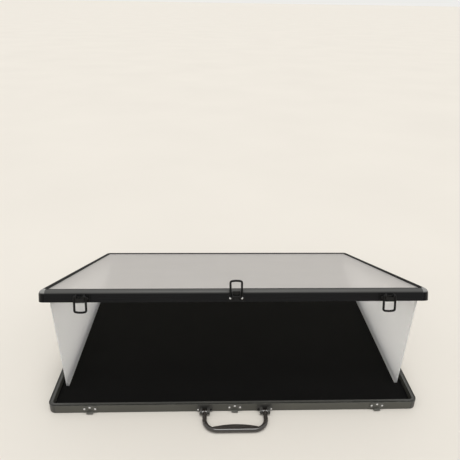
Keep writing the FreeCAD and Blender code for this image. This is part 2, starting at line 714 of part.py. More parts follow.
# Lid frame and its sheet
def make_lid():
    frame = make_frame(
        "lid",
        lid_section(inward, "left"),
        lid_chamber(inward),
        lid_section(round_corner, "right"),
        lid_chamber(round_corner, "Dims.fit_gap"),
        LID_LOW,
        LID_OPEN,
    )
    latch_holes = []
    for _, side in THREE_PLACES:
        for x in LATCH_RIVETS:
            latch_holes.append((f"{side} * {LATCH_X} + {x}", "Dims.latch_rivet_z"))
    drill(frame["front"], latch_holes, HOLE, DRILL)
    drill(frame["rear"], leaf_holes(f"{HINGE_Z} - {LID_LOW}", "+"), HOLE, DRILL)
    for name, side in TWO_PLACES:
        holes = [(f"{side} * ({y})", "Dims.panel_pivot_z") for y in ANGLE_SCREWS]
        drill(frame[name], holes, HOLE, DRILL, "-Dims.lid_rail_width", backwards=True)
    edge = "(Dims.lid_rail_width - Dims.sheet_slot + Dims.fit_gap)"
    pane = make_sheet("lid_sheet", [(*inside(edge), SHEET_LOW, "Dims.sheet_thick")])
    pane.Placement = LID_OPEN * placed(z=LID_LOW)
    bead = "(Dims.lid_rail_width + Dims.fit_gap)"
    bead_inner = f"({bead} + Dims.gasket_width)"
    hole = (*inside(bead_inner)[:2], "Dims.fit_gap")
    ring = make_sheet(
        "lid_gasket",
        [(*inside(bead), f"{SHEET_LOW} + Dims.sheet_thick", "Dims.gasket_height")],
        [hole],
    )
    ring.Placement = LID_OPEN * placed(z=LID_LOW)


LATCH_RIVETS = ["-Dims.latch_rivet_x", "Dims.latch_rivet_x"]


# Rear hinges
def make_leaf(label, sign, knuckle_out):
    """Hinge leaf about a pin along X. sign puts the plate above or below the pin."""
    body = new_body(label)
    face = f"({HINGE_OUT} - Dims.leaf_thick)"
    sketch = new_sketch(body, "XZ_Plane", face)
    notch = f"{sign}(Dims.knuckle_radius + 2 * Dims.side_gap)"
    far = f"{sign}Dims.leaf_height"
    near = "(Dims.lid_knuckle_half + Dims.side_gap)"
    if knuckle_out:
        points = [
            ("-Dims.leaf_half", far), ("Dims.leaf_half", far), ("Dims.leaf_half", "0"), (near, "0"),
            (near, notch), (f"-{near}", notch), (f"-{near}", "0"), ("-Dims.leaf_half", "0"),
        ]
    else:
        points = [
            ("-Dims.leaf_half", far), ("Dims.leaf_half", far), ("Dims.leaf_half", notch),
            ("Dims.lid_knuckle_half", notch), ("Dims.lid_knuckle_half", "0"),
            ("-Dims.lid_knuckle_half", "0"), ("-Dims.lid_knuckle_half", notch),
            ("-Dims.leaf_half", notch),
        ]
    outline(sketch, points)
    for x in ("-Dims.leaf_rivet_x", "Dims.leaf_rivet_x"):
        circle(sketch, x, f"{sign}Dims.leaf_rivet_z", HOLE)
    extrude(body, sketch, "Dims.leaf_thick")
    knuckle = new_sketch(body, "YZ_Plane")
    circle(knuckle, "0", "0", "Dims.knuckle_radius")
    length = "2 * Dims.leaf_half" if knuckle_out else "2 * Dims.lid_knuckle_half"
    extrude(body, knuckle, length, symmetric=True)
    if knuckle_out:
        cross_hole(body, [("0", "0")], "Dims.knuckle_radius + Dims.side_gap", f"2 * {near}")
    cross_hole(body, [("0", "0")], "Dims.hinge_pin_radius + Dims.run_gap", "3 * Dims.leaf_half")
    return body


def make_hinges():
    base_rivets = []
    lid_rivets = []
    pins = []
    face = f"({HALF_DEPTH} + Dims.leaf_thick)"
    depth = f"Dims.leaf_thick + {DRILL}"
    for name, side in THREE_PLACES:
        middle = f"{side} * {HINGE_X}"
        lower = make_leaf(f"hinge_{name}_base_leaf", "-", True)
        lower.Placement = placed(middle, HINGE_Y, HINGE_Z)
        upper = make_leaf(f"hinge_{name}_lid_leaf", "", False)
        upper.Placement = LID_OPEN * placed(middle, HINGE_Y, HINGE_Z)
        pins.append((facing(middle, HINGE_Y, HINGE_Z, (1, 0, 0)), "2 * Dims.leaf_half"))
        for x in ("-Dims.leaf_rivet_x", "Dims.leaf_rivet_x"):
            seat = facing(f"{middle} + {x}", face, f"{HINGE_Z} - Dims.leaf_rivet_z", (0, 1, 0))
            base_rivets.append((seat, depth))
            seat = facing(f"{middle} + {x}", face, f"{HINGE_Z} + Dims.leaf_rivet_z", (0, 1, 0))
            lid_rivets.append((LID_OPEN * seat, depth))
    make_pins("hinge_pins", "Dims.hinge_pin_radius", pins)
    make_rivets("hinge_base_rivets", base_rivets)
    make_rivets("hinge_lid_rivets", lid_rivets)


# Latches on the lid's front rail
def make_latch_plate(label):
    """Riveted plate with two ears that hold the lever's pin."""
    body = new_body(label)
    sketch = new_sketch(body, "XZ_Plane")
    outline(sketch, rounded_box(
        "-Dims.latch_half", "Dims.latch_low", "Dims.latch_half", "Dims.latch_high", "Dims.ear_thick",
    ))
    for x in LATCH_RIVETS:
        circle(sketch, x, "Dims.latch_rivet_z", HOLE)
    extrude(body, sketch, "Dims.plate_thick")
    ears = new_sketch(body, "YZ_Plane")
    outline(ears, [
        ("-Dims.lever_pivot_out", "Dims.lever_pivot_z + Dims.ear_round", "Dims.ear_round", "left"),
        ("-(Dims.lever_pivot_out + Dims.ear_round)", "Dims.lever_pivot_z", "Dims.ear_round", "left"),
        ("-Dims.lever_pivot_out", "Dims.lever_pivot_z - Dims.ear_round"),
        ("0", "Dims.latch_low + Dims.ear_thick"),
        ("0", "Dims.lever_pivot_z - Dims.ear_thick"),
    ])
    extrude(body, ears, f"2 * {EAR_OUTER}", symmetric=True)
    gap = new_sketch(body, "YZ_Plane")
    far = "-2 * Dims.lever_pivot_out"
    outline(gap, [
        ("-Dims.plate_thick", "0"),
        ("-Dims.plate_thick", "Dims.lid_height"),
        (far, "Dims.lid_height"),
        (far, "0"),
    ])
    extrude(body, gap, "2 * Dims.ear_inner", "Pocket", symmetric=True)
    bore = "(Dims.lever_pin_radius + Dims.run_gap)"
    cross_hole(body, [("-Dims.lever_pivot_out", "Dims.lever_pivot_z")], bore, f"3 * {EAR_OUTER}")
    return body


def make_lever(label):
    """Channel-shaped lever, pin at its origin and hanging down, with holes for the bail's ends."""
    body = new_body(label)
    wrap = "(Dims.ear_round + Dims.run_gap)"
    lobe = "(Dims.crank_length + Dims.wire_radius + Dims.lever_wall)"
    lobe_start = "(Dims.lobe_start * 1 deg)"
    lobe_end = "(Dims.lobe_end * 1 deg)"
    tip = "-(Dims.lever_depth - Dims.lever_draw)"
    low = "-Dims.lever_length"
    web_top = "-Dims.ear_thick"
    sketch = new_sketch(body, "YZ_Plane")
    outline(sketch, [
        (wrap, wrap),
        (f"-{lobe} * sin({lobe_start})", f"{lobe} * cos({lobe_start})", lobe, "left"),
        (f"-{lobe} * cos({lobe_end})", f"{lobe} * sin({lobe_end})"),
        ("-Dims.lever_depth", web_top),
        (tip, low),
        (f"{tip} + 2 * Dims.lever_web", low),
        (wrap, f"-{wrap} - Dims.lever_web"),
    ])
    extrude(body, sketch, f"2 * {CHEEK_OUTER}", symmetric=True)
    hollow = new_sketch(body, "YZ_Plane")
    outline(hollow, [
        ("Dims.lever_length", "Dims.lever_length"),
        ("-Dims.lever_length", "Dims.lever_length"),
        ("-Dims.lever_length", web_top),
        ("-(Dims.lever_depth - Dims.lever_web)", web_top),
        (f"{tip} + Dims.lever_web", low),
        ("Dims.lever_length", low),
    ])
    extrude(body, hollow, f"2 * {CHEEK_INNER}", "Pocket", symmetric=True)
    cross_hole(body, [("0", "0")], "Dims.lever_pin_radius + Dims.run_gap", f"3 * {CHEEK_OUTER}")
    cross_hole(body, [(CRANK_Y, CRANK_Z)], "Dims.wire_radius + Dims.run_gap", f"3 * {CHEEK_OUTER}")
    return body


def make_bail(label):
    """Wire loop that hangs from its pivot at the origin. Its bar is bowed a little outwards."""
    body = new_body(label)
    bow = "(Dims.bail_bow * 1 deg)"
    end = f"({CHEEK_INNER} + Dims.run_gap)"
    shoulder = "(Dims.bail_half - Dims.bail_bend)"
    bar_half = f"(Dims.bail_half - Dims.bail_corner * (1 - sin({bow})))"
    bar_radius = f"({bar_half} / sin({bow}))"
    bar_end = f"-(Dims.bail_reach - {bar_radius} * (1 - cos({bow})))"
    leg_end = f"({bar_end} + Dims.bail_corner * cos({bow}))"
    path = new_sketch(body, "XZ_Plane")
    outline(path, [
        (f"-{end}", "0"),
        (f"-{shoulder}", "0", "Dims.bail_bend", "left"),
        ("-Dims.bail_half", "-Dims.bail_bend"),
        ("-Dims.bail_half", leg_end, "Dims.bail_corner", "left"),
        (f"-{bar_half}", bar_end, bar_radius, "left"),
        (bar_half, bar_end, "Dims.bail_corner", "left"),
        ("Dims.bail_half", leg_end),
        ("Dims.bail_half", "-Dims.bail_bend", "Dims.bail_bend", "left"),
        (shoulder, "0"),
        (end, "0"),
    ], closed=False)
    ring = new_sketch(body, "YZ_Plane", f"-{end}")
    circle(ring, "0", "0", "Dims.wire_radius")
    wire = body.newObject("PartDesign::AdditivePipe", f"{label}_wire")
    wire.Profile = ring
    wire.Spine = path
    doc.recompute()
    return body


def make_latches():
    outer_rivets = []
    centre_rivets = []
    pins = []
    for name, side in THREE_PLACES:
        middle = f"{side} * {LATCH_X}"
        rail = placed(middle, f"-{HALF_DEPTH}", LID_LOW)
        plate = make_latch_plate(f"latch_{name}_plate")
        plate.Placement = LID_OPEN * rail
        raised = name == "centre"
        turn = number("Dims.lever_swing") if raised else 0
        pivot = rail * placed(y="-Dims.lever_pivot_out", z="Dims.lever_pivot_z")
        lever = make_lever(f"latch_{name}_lever")
        lever.Placement = LID_OPEN * pivot * tilt(turn)
        swing = 180 + number("Dims.bail_lean") if raised else -number("Dims.bail_droop")
        bail = make_bail(f"latch_{name}_bail")
        hung = lever.Placement * placed(y=CRANK_Y, z=CRANK_Z)
        bail.Placement = hung * tilt(swing - turn)
        pin_seat = LID_OPEN * pivot * facing("0", "0", "0", (1, 0, 0))
        pins.append((pin_seat, f"2 * {CHEEK_OUTER}"))
        for x in LATCH_RIVETS:
            seat = rail * facing(x, "-Dims.plate_thick", "Dims.latch_rivet_z", (0, -1, 0))
            rivets = centre_rivets if raised else outer_rivets
            rivets.append((LID_OPEN * seat, f"Dims.plate_thick + {DRILL}"))
    make_pins("latch_lever_pins", "Dims.lever_pin_radius", pins)
    make_rivets("latch_outer_rivets", outer_rivets)
    make_rivets("latch_centre_rivets", centre_rivets)


# Side panels, each in an edge strip that turns on pins in two angle brackets under the lid
PANEL_X = f"({HALF_WIDTH} - Dims.lid_rail_width - Dims.panel_inset)"
RAIL_INNER = f"({HALF_DEPTH} - Dims.lid_rail_width)"
ANGLE_FRONT = f"(-{RAIL_INNER} + Dims.angle_seat_gap)"
STRIP_FRONT = f"({ANGLE_FRONT} + Dims.angle_thick + Dims.angle_end_gap)"
STRIP_REAR = f"({RAIL_INNER} - Dims.strip_rear_gap)"
STRIP_LENGTH = f"({STRIP_REAR} - {STRIP_FRONT})"
PANEL_TOP = f"({LID_LOW} + Dims.panel_pivot_z - Dims.strip_core - Dims.fit_gap)"
PIVOT_Z = f"({LID_LOW} + Dims.panel_pivot_z)"
ANGLE_SCREWS = [
    f"{STRIP_FRONT} - Dims.angle_end_gap + Dims.angle_screw_y",
    f"{STRIP_REAR} + Dims.angle_end_gap - Dims.angle_screw_y",
]


def plumb_foot(y, z):
    """Where a plumb line from a point of the closed lid meets the lining, with the lid propped open."""
    height = f"({HINGE_Z} + ({HINGE_Y} - {y}) * sin({OPEN}) + ({z} - {HINGE_Z}) * cos({OPEN}))"
    drop = f"({height} - {FLOOR_TOP} - Dims.prop_gap)"
    return f"({y} + {drop} * sin({OPEN}))", f"({z} - {drop} * cos({OPEN}))"


def make_panel(label, side):
    """Upright sheet: its top runs along the slanted lid, its front leans back, its foot is level."""
    body = new_body(label)
    notch_front = f"({STRIP_FRONT} + Dims.fit_gap)"
    notch_z = f"({PIVOT_Z} - Dims.panel_notch)"
    front = f"(-{RAIL_INNER} + Dims.panel_front_gap)"
    rear = f"({STRIP_REAR} - Dims.fit_gap)"
    plumb_y, plumb_z = plumb_foot(front, LID_LOW)
    foot_y = f"({plumb_y} + Dims.panel_set_back * cos({OPEN}))"
    foot_z = f"({plumb_z} + Dims.panel_set_back * sin({OPEN}))"
    sketch = new_sketch(body, "YZ_Plane")
    outline(sketch, [
        (notch_front, PANEL_TOP),
        (notch_front, notch_z),
        (front, notch_z),
        (front, LID_LOW),
        (f"{foot_y} - Dims.panel_tip * sin({OPEN})", f"{foot_z} + Dims.panel_tip * cos({OPEN})"),
        (f"{foot_y} + Dims.panel_tip * cos({OPEN})", f"{foot_z} + Dims.panel_tip * sin({OPEN})"),
        plumb_foot(rear, notch_z),
        (rear, notch_z),
        (rear, PANEL_TOP),
    ])
    extrude(body, sketch, "Dims.panel_thick", symmetric=True)
    body.Placement = LID_OPEN * placed(f"{side} * {PANEL_X}")


def make_strip(label, side):
    """Channel along the panel's top edge, with a pin hole in each end."""
    body = new_body(label)
    sketch = new_sketch(body, "XZ_Plane")
    groove = "(Dims.panel_thick / 2 + Dims.fit_gap / 2)"
    outline(sketch, [
        ("-Dims.strip_half", "Dims.strip_above"), ("-Dims.strip_half", "-Dims.strip_below"),
        (f"-{groove}", "-Dims.strip_below"), (f"-{groove}", "-Dims.strip_core"),
        (groove, "-Dims.strip_core"), (groove, "-Dims.strip_below"),
        ("Dims.strip_half", "-Dims.strip_below"), ("Dims.strip_half", "Dims.strip_above"),
    ])
    extrude(body, sketch, STRIP_LENGTH, symmetric=True)
    half = f"{STRIP_LENGTH} / 2"
    bore = "Dims.panel_pin_radius + Dims.run_gap"
    drill(body, [("0", "0")], bore, "Dims.panel_pin_length", half)
    drill(body, [("0", "0")], bore, "Dims.panel_pin_length", f"-{half}", backwards=True)
    middle = f"({STRIP_FRONT} + {half})"
    body.Placement = LID_OPEN * placed(f"{side} * {PANEL_X}", middle, PIVOT_Z)


def make_angle(label):
    """Angle bracket: one leg on the lid rail's inner face, one end plate round the panel's pin."""
    body = doc.addObject("PartDesign::Body", label)
    sketch = new_sketch(body, "XY_Plane")
    reach = "(Dims.panel_inset + Dims.angle_half)"
    outline(sketch, [
        ("0", "0"), (reach, "0"), (reach, "Dims.angle_thick"), ("Dims.angle_thick", "Dims.angle_thick"),
        ("Dims.angle_thick", "Dims.angle_leg"), ("0", "Dims.angle_leg"),
    ])
    extrude(body, sketch, "2 * Dims.angle_half", symmetric=True)
    bore = "Dims.panel_pin_radius + Dims.run_gap"
    drill(body, [("Dims.panel_inset", "0")], bore, "2 * Dims.angle_thick", "Dims.angle_thick / 2")
    cross_hole(body, [("Dims.angle_thick + Dims.angle_screw_y", "0")], HOLE, "4 * Dims.angle_thick")
    return body


def make_angle_pair(name, side):
    """Front and rear angle brackets of one panel, kept together as they are the same piece."""
    wall = f"{side} * ({HALF_WIDTH} - Dims.lid_rail_width)"
    rear_y = f"{STRIP_REAR} + Dims.angle_end_gap + Dims.angle_thick"
    upright = FreeCAD.Rotation(FreeCAD.Vector(0, 1, 0), 180 if side == "1" else 0)
    flipped = FreeCAD.Rotation(FreeCAD.Vector(1, 0, 0), 180)
    pieces = []
    for place, y, spin in (("front", ANGLE_FRONT, upright), ("rear", rear_y, upright * flipped)):
        piece = make_angle(f"panel_{name}_{place}_angle")
        seat = FreeCAD.Vector(number(wall), number(y), number(PIVOT_Z))
        piece.Placement = LID_OPEN * FreeCAD.Placement(seat, spin)
        pieces.append(piece)
    group = doc.addObject("Part::Compound", f"panel_{name}_brackets")
    group.Links = pieces
    nodes.append(group)


def make_panels():
    screws = []
    for name, side in TWO_PLACES:
        make_panel(f"side_panel_{name}", side)
        make_strip(f"panel_{name}_edge_strip", side)
        make_angle_pair(name, side)
        axis_x = f"{side} * {PANEL_X}"
        length = "(Dims.panel_pin_length + Dims.angle_end_gap + Dims.angle_thick)"
        pins = []
        for end in (
            f"{STRIP_FRONT} + Dims.panel_pin_length - {length} / 2",
            f"{STRIP_REAR} - Dims.panel_pin_length + {length} / 2",
        ):
            pins.append((LID_OPEN * facing(axis_x, end, PIVOT_Z, (0, 1, 0)), length))
        make_pins(f"panel_{name}_pins", "Dims.panel_pin_radius", pins)
        inner = f"{side} * ({HALF_WIDTH} - Dims.lid_rail_width - Dims.angle_thick)"
        for y in ANGLE_SCREWS:
            seat = facing(inner, y, PIVOT_Z, (-float(side), 0, 0))
            screws.append((LID_OPEN * seat, f"Dims.angle_thick + {DRILL}"))
    make_rivets("panel_bracket_rivets", screws)


make_tray()
make_keepers()
make_handle_set()
make_lid()
make_hinges()
make_latches()
make_panels()
doc.recompute()

# Check the document, then write each piece
for item in doc.Objects:
    if "Invalid" in item.State or "Error" in item.State:
        raise RuntimeError(f"{item.Label} failed: {item.State}")
os.makedirs("parts", exist_ok=True)
for node in nodes:
    if node.Shape.isNull() or not node.Shape.isValid() or not node.Shape.Solids:
        raise RuntimeError(f"{node.Label} has no valid shape")
    node.Shape.exportStep(f"parts/{node.Label}.step")
print(f"{len(nodes)} pieces written")
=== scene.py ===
import json
import math

import bmesh
import bpy
from mathutils import Matrix, Vector


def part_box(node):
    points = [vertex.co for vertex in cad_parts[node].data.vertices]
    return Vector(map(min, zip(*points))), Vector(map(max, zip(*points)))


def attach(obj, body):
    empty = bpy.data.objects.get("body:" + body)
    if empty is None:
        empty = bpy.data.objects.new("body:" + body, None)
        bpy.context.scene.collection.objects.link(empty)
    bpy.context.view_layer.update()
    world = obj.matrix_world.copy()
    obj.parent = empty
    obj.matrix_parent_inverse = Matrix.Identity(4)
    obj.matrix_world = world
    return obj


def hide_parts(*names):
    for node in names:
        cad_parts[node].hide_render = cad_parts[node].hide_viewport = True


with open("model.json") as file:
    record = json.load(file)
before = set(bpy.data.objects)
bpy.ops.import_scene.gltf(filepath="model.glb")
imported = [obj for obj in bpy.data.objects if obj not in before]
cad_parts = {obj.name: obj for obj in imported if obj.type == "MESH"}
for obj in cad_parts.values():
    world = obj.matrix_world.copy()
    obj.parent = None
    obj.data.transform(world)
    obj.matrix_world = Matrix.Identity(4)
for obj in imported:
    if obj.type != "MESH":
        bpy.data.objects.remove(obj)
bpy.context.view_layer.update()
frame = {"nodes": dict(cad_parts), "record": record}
nodes = frame["nodes"]

MM = 0.001
LID_ANGLE = math.radians(21.7)
TRAY_UP = (0, 0, 1)
LID_UP = (0, math.sin(LID_ANGLE), math.cos(LID_ANGLE))

# Colour sockets of the Mix node
MIX_FIRST, MIX_SECOND, MIX_RESULT = 6, 7, 2


def scaled(colour, share):
    return tuple(min(1, share * c) for c in colour)


def add_object(name, shape, material):
    """Object made from a finished bmesh, which is freed."""
    data = bpy.data.meshes.new(name)
    shape.to_mesh(data)
    shape.free()
    data.materials.append(material)
    made = bpy.data.objects.new(name, data)
    bpy.context.scene.collection.objects.link(made)
    return made


class Finish:
    """A procedural material: one Principled shader and the texture nodes that feed it."""

    def __init__(self, name, **sockets):
        self.material = bpy.data.materials.new(name)
        self.material.use_nodes = True
        self.tree = self.material.node_tree
        self.shader = self.tree.nodes["Principled BSDF"]
        for socket, value in sockets.items():
            self.shader.inputs[socket.replace("_", " ")].default_value = value
        own = self.tree.nodes.new("ShaderNodeTexCoord")
        self.place, self.normal = own.outputs["Object"], own.outputs["Normal"]
        self.raised_normal = None

    def node(self, kind, **settings):
        made = self.tree.nodes.new(f"ShaderNode{kind}")
        for key, value in settings.items():
            setattr(made, key, value)
        return made

    def link(self, output, target):
        self.tree.links.new(output, target)

    def coordinates(self, stretch, tilt):
        """Object coordinates, turned by tilt about X and stretched."""
        turned = self.node("Mapping")
        self.link(self.place, turned.inputs["Vector"])
        turned.inputs["Rotation"].default_value = (tilt, 0, 0)
        stretched = self.node("Mapping")
        self.link(turned.outputs["Vector"], stretched.inputs["Vector"])
        stretched.inputs["Scale"].default_value = stretch
        return stretched.outputs["Vector"]

    def noise(self, scale, detail, stretch=(1, 1, 1), tilt=0.0):
        texture = self.node("TexNoise")
        texture.inputs["Scale"].default_value = scale
        texture.inputs["Detail"].default_value = detail
        self.link(self.coordinates(stretch, tilt), texture.inputs["Vector"])
        return texture.outputs["Fac"]

    def cells(self, scale):
        texture = self.node("TexVoronoi")
        texture.inputs["Scale"].default_value = scale
        self.link(self.place, texture.inputs["Vector"])
        return texture.outputs["Distance"]

    def along(self, axis):
        split = self.node("SeparateXYZ")
        self.link(self.place, split.inputs["Vector"])
        return split.outputs[axis]

    def spread(self, value, low, high, source=(0.3, 0.7)):
        """A texture value moved from its own range to low and high."""
        span = self.node("MapRange")
        span.inputs["From Min"].default_value, span.inputs["From Max"].default_value = source
        span.inputs["To Min"].default_value = low
        span.inputs["To Max"].default_value = high
        self.link(value, span.inputs["Value"])
        return span.outputs["Result"]

    def mix(self, factor, first, second):
        """Colour between two others. Each is a colour or another node's output."""
        blend = self.node("Mix", data_type="RGBA")
        self.link(factor, blend.inputs["Factor"])
        for value, socket in ((first, blend.inputs[MIX_FIRST]), (second, blend.inputs[MIX_SECOND])):
            if isinstance(value, tuple):
                socket.default_value = (*value, 1)
            else:
                self.link(value, socket)
        return blend.outputs[MIX_RESULT]

    def varied(self, value, colour, low, high):
        """A colour that drifts between two shares of itself."""
        return self.mix(self.spread(value, 0, 1), scaled(colour, low), scaled(colour, high))

    def combine(self, operation, first, second):
        """Result of a Math node. The second value is a number or another node's output."""
        result = self.node("Math", operation=operation)
        self.link(first, result.inputs[0])
        if isinstance(second, (int, float)):
            result.inputs[1].default_value = second
        else:
            self.link(second, result.inputs[1])
        return result.outputs[0]

    def colour(self, output):
        self.link(output, self.shader.inputs["Base Color"])

    def roughness(self, output):
        self.link(output, self.shader.inputs["Roughness"])

    def bump(self, height, distance, strength=1.0):
        """Raise the surface by a texture, on top of any bump that is there."""
        raised = self.node("Bump")
        raised.inputs["Distance"].default_value = distance
        raised.inputs["Strength"].default_value = strength
        self.link(height, raised.inputs["Height"])
        if self.raised_normal:
            self.link(self.raised_normal, raised.inputs["Normal"])
        self.raised_normal = raised.outputs["Normal"]
        self.link(self.raised_normal, self.shader.inputs["Normal"])

    def rubbed_edges(self, radius, scale, low, high, source):
        """Mask along sharp edges, broken up by a noise."""
        soft = self.node("Bevel", samples=4)
        soft.inputs["Radius"].default_value = radius
        flat = self.node("NewGeometry")
        likeness = self.node("VectorMath", operation="DOT_PRODUCT")
        self.link(soft.outputs["Normal"], likeness.inputs[0])
        self.link(flat.outputs["True Normal"], likeness.inputs[1])
        edges = self.spread(likeness.outputs["Value"], 1, 0, source=(0.85, 0.99))
        patches = self.spread(self.noise(scale, detail=3), low, high, source)
        return self.combine("MULTIPLY", edges, patches)

    def painted_crevice_shade(self, reach, high):
        """Mask for painted shade: high in narrow grooves and joints, where shade falls."""
        shade = self.node("AmbientOcclusion", samples=8)
        shade.inputs["Distance"].default_value = reach
        return self.spread(shade.outputs["AO"], high, 0, source=(0.25, 0.75))

    def facing(self, direction, source):
        """Mask that is high on faces that look along a direction of their own body."""
        turned = self.node("VectorMath", operation="DOT_PRODUCT")
        self.link(self.normal, turned.inputs[0])
        turned.inputs[1].default_value = direction
        return self.spread(turned.outputs["Value"], 0, 1, source)


# How far a face looks up, from none of the painted top shade or painted highlight to all of it
ROUNDING_HIGHLIGHT_BAND = (0.20, 0.50)
FLAT_TOP_SHADE_BAND = (0.93, 0.99)
TOP_SHADE_BAND = (0.5, 0.9)
DULL_TOP = 0.85
DIE_LINE_STRETCH = 60


def anodised(name, along, tilt, up, colour, rounding_highlight, top_shade, worn, roughness, gloss):
    """Satin anodised extrusion: die lines along the rail, blotches, a painted shade on top, worn edges and
    painted shade in grooves.
    With a rounding highlight colour, the rounded edge carries a painted highlight and the flat top is dull."""
    finish = Finish(name, Specular_IOR_Level=gloss)
    across = DIE_LINE_STRETCH
    stretch = (1, across, across) if along == "x" else (across, 1, across)
    lines = finish.noise(scale=14, detail=2, stretch=stretch, tilt=tilt)
    sheen = finish.spread(lines, low=roughness - 0.06, high=roughness + 0.08)
    body = finish.varied(finish.noise(scale=9, detail=4), colour, low=0.85, high=1.15)
    top_shade_and_dull_mask = finish.facing(up, FLAT_TOP_SHADE_BAND if rounding_highlight else TOP_SHADE_BAND)
    if rounding_highlight:
        # Painted highlight: the rounded edge gets its own paler colour
        body = finish.mix(finish.facing(up, ROUNDING_HIGHLIGHT_BAND), body, rounding_highlight)
        sheen = finish.combine("MAXIMUM", sheen, finish.combine("MULTIPLY", top_shade_and_dull_mask, DULL_TOP))
    # Painted shade: faces that look up take the darker top colour
    body = finish.mix(top_shade_and_dull_mask, body, top_shade)
    wear = finish.rubbed_edges(radius=0.6 * MM, scale=120, low=0.1, high=0.8, source=(0.4, 0.65))
    body = finish.mix(wear, body, worn)
    # Painted shade: grooves and joints darkened towards a quarter of the top colour
    finish.colour(finish.mix(finish.painted_crevice_shade(reach=3 * MM, high=0.8), body, scaled(top_shade, 0.25)))
    finish.roughness(sheen)
    finish.bump(lines, distance=0.02 * MM, strength=0.5)
    finish.bump(finish.noise(scale=2600, detail=2), distance=0.012 * MM, strength=0.4)
    return finish.material


def moulded(name, colour, roughness, grain_scale, grain_height, gloss=0.45, lid_top_highlight=None):
    """Moulded plastic with a fine grain, and a painted highlight on top of the lid where that colour is
    given.
    """
    finish = Finish(name, Specular_IOR_Level=gloss)
    body = finish.varied(finish.noise(scale=18, detail=4), colour, low=0.88, high=1.14)
    if lid_top_highlight:
        # Painted highlight: the upper rounding of the lid corner is paler
        body = finish.mix(finish.facing(LID_UP, ROUNDING_HIGHLIGHT_BAND), body, lid_top_highlight)
    rub = finish.rubbed_edges(radius=0.8 * MM, scale=90, low=0, high=0.5, source=(0.42, 0.66))
    finish.colour(finish.mix(rub, body, scaled(colour, 2.6)))
    finish.roughness(finish.spread(finish.noise(scale=45, detail=4), roughness - 0.07, roughness + 0.09))
    finish.bump(finish.cells(grain_scale), grain_height)
    finish.bump(finish.noise(scale=260, detail=3), grain_height, strength=0.3)
    return finish.material


def painted_steel(name, colour, rubbed, roughness, gloss=0.5):
    """Coated steel: faint orange peel, dust and rubbed corners."""
    finish = Finish(name, Specular_IOR_Level=gloss, Coat_Weight=0.3 * gloss, Coat_Roughness=0.25)
    body = finish.varied(finish.noise(scale=60, detail=5), colour, low=0.8, high=1.3)
    rub = finish.rubbed_edges(radius=0.35 * MM, scale=300, low=0, high=0.7, source=(0.45, 0.62))
    finish.colour(finish.mix(rub, body, rubbed))
    finish.roughness(finish.spread(finish.noise(scale=140, detail=3), roughness - 0.08, roughness + 0.1))
    finish.bump(finish.noise(scale=900, detail=2), distance=0.03 * MM, strength=0.5)
    return finish.material


def bright_steel(name):
    """Plated rivet and pin metal with fine handling scratches."""
    finish = Finish(name, Metallic=1.0)
    cloud = finish.spread(finish.noise(scale=220, detail=4), 0, 1)
    finish.colour(finish.mix(cloud, (0.62, 0.62, 0.63), (0.86, 0.86, 0.87)))
    finish.roughness(finish.spread(finish.noise(scale=700, detail=3), low=0.16, high=0.36))
    finish.bump(finish.noise(scale=1500, detail=3, stretch=(1, 6, 1)), distance=0.01 * MM, strength=0.5)
    return finish.material


def hazy_acrylic(name, colour, roughness, **sockets):
    """Acrylic sheet, veiled or milky as its sockets say, with faint clouds in its colour and gloss."""
    finish = Finish(name, Specular_IOR_Level=0.5, **sockets)
    finish.colour(finish.varied(finish.noise(scale=7, detail=4), colour, low=0.97, high=1.01))
    finish.roughness(finish.spread(finish.noise(scale=9, detail=3), roughness - 0.015, roughness + 0.015))
    return finish.material


def lining_cloth(name):
    """Short black nap: dense fibres, brushed patches, a soft sheen, and a painted light that makes it greyer
    towards the rear.
    """
    finish = Finish(
        name, Specular_IOR_Level=0.05, Sheen_Weight=0.05, Sheen_Roughness=0.4, Sheen_Tint=(0.5, 0.5, 0.5, 1),
    )
    brushed = finish.noise(scale=5, detail=5, stretch=(1, 2.2, 1))
    fibre = finish.noise(scale=3200, detail=2, stretch=(1, 1.8, 1))
    painted_rear_light = finish.spread(finish.along("Y"), 0, 1, source=(-0.26, 0.30))
    body = finish.mix(finish.spread(brushed, 0, 1), (0.0050, 0.0050, 0.0049), (0.0070, 0.0069, 0.0067))
    # Painted light: the nap turns paler towards the rear of the tray
    body = finish.mix(painted_rear_light, body, (0.040, 0.039, 0.035))
    finish.colour(finish.mix(finish.spread(fibre, low=0, high=0.35), body, (0.0105, 0.0105, 0.0098)))
    finish.roughness(finish.spread(brushed, low=0.82, high=0.95))
    finish.bump(fibre, distance=0.25 * MM, strength=0.6)
    finish.bump(finish.cells(scale=900), distance=0.2 * MM, strength=0.35)
    return finish.material


def hardboard(name):
    """Black faced hardboard with a pressed screen pattern."""
    finish = Finish(name, Specular_IOR_Level=0.3)
    fibre = finish.noise(scale=240, detail=6, stretch=(1, 5, 1))
    finish.colour(finish.mix(finish.spread(fibre, 0, 1), (0.018, 0.016, 0.014), (0.04, 0.035, 0.03)))
    finish.roughness(finish.spread(fibre, low=0.6, high=0.82))
    finish.bump(finish.cells(scale=420), distance=0.15 * MM, strength=0.5)
    return finish.material


def rubber(name):
    """Black rubber with a faint bloom."""
    finish = Finish(name, Specular_IOR_Level=0.15)
    bloom = finish.noise(scale=80, detail=4)
    finish.colour(finish.mix(finish.spread(bloom, 0, 1), (0.009, 0.008, 0.008), (0.02, 0.018, 0.018)))
    finish.roughness(finish.spread(bloom, low=0.55, high=0.78))
    finish.bump(finish.noise(scale=1400, detail=2), distance=0.03 * MM, strength=0.5)
    return finish.material


